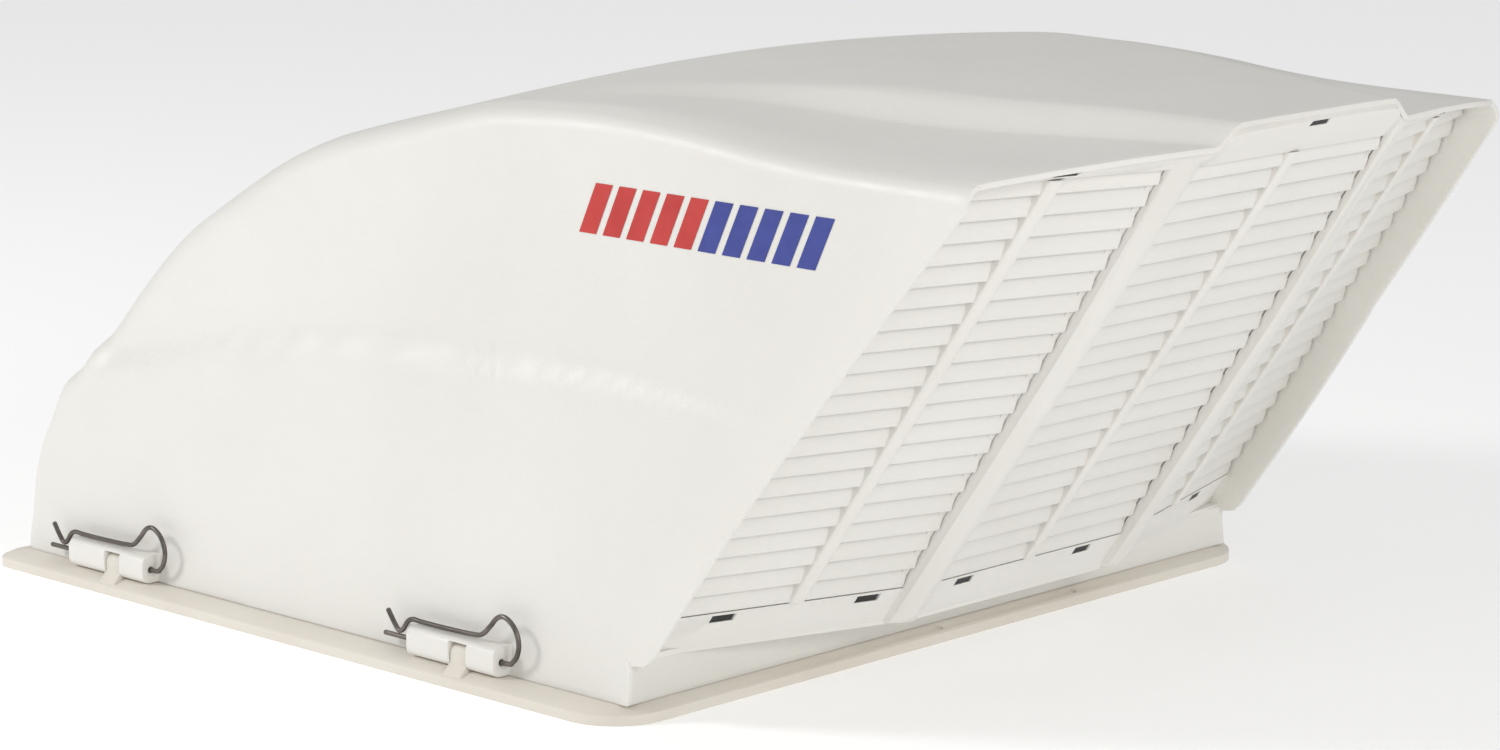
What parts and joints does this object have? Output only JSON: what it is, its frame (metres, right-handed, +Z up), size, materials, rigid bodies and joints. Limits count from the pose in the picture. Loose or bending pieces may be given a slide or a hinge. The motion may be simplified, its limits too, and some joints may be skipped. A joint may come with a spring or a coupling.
{
  "type": "roof vent cover",
  "caption": "Hinged rain hood over a roof vent, with a rounded nose, a louvred rear, snap-in insect screens and a screw-down flange held by spring clips.",
  "frame": {"origin": "the roof plane under the middle of the whole cover's plan outline: halfway across, and halfway between the flange's front edge and the hood's rear edge", "axes": "+Z up off the roof, -Y the direction of travel with the rounded nose at -Y, +Y the louvred rear, +X the side whose clips are pulled to open the hood"},
  "size_m": [0.576, 0.8181, 0.3506],
  "materials": {
    "flange_plastic": "off-white moulded polyethylene, fine satin grain",
    "hood_plastic": "off-white translucent moulded polyethylene, satin",
    "louvre_plastic": "off-white translucent moulded polyethylene, satin",
    "screen_plastic": "black moulded plastic, matt",
    "gauze": "black woven insect gauze",
    "clip_steel": "bare spring steel wire, slightly dulled"
  },
  "bodies": {
    "base": {"base_flange": "flange_plastic"},
    "hood": {"hood_shell": "hood_plastic", "louvre_panel_left": "louvre_plastic", "louvre_panel_centre": "louvre_plastic", "louvre_panel_right": "louvre_plastic", "screen_frame_left": "screen_plastic", "screen_frame_centre": "screen_plastic", "screen_frame_right": "screen_plastic", "screen_mesh_left": "gauze", "screen_mesh_centre": "gauze", "screen_mesh_right": "gauze"},
    "clip_left_front": {"clip_left_front": "clip_steel"},
    "clip_left_rear": {"clip_left_rear": "clip_steel"},
    "clip_right_front": {"clip_right_front": "clip_steel"},
    "clip_right_rear": {"clip_right_rear": "clip_steel"}
  },
  "joints": [
    {"name": "hood_hinge", "type": "hinge", "parent": "base", "child": "hood", "pos_m": [-0.2765, 0, 0.019], "axis": [0, -1, 0], "range_deg": [0, 90]},
    {"name": "clip_left_front_pull", "type": "slide", "parent": "hood", "child": "clip_left_front", "axis": [0, 1, 0], "range_m": [0, 0.103], "deforming": ["clip_left_front"]},
    {"name": "clip_left_rear_pull", "type": "slide", "parent": "hood", "child": "clip_left_rear", "axis": [0, 1, 0], "range_m": [0, 0.103], "deforming": ["clip_left_rear"]},
    {"name": "clip_right_front_pull", "type": "slide", "parent": "hood", "child": "clip_right_front", "axis": [0, 1, 0], "range_m": [0, 0.103], "deforming": ["clip_right_front"]},
    {"name": "clip_right_rear_pull", "type": "slide", "parent": "hood", "child": "clip_right_rear", "axis": [0, 1, 0], "range_m": [0, 0.103], "deforming": ["clip_right_rear"]}
  ]
}
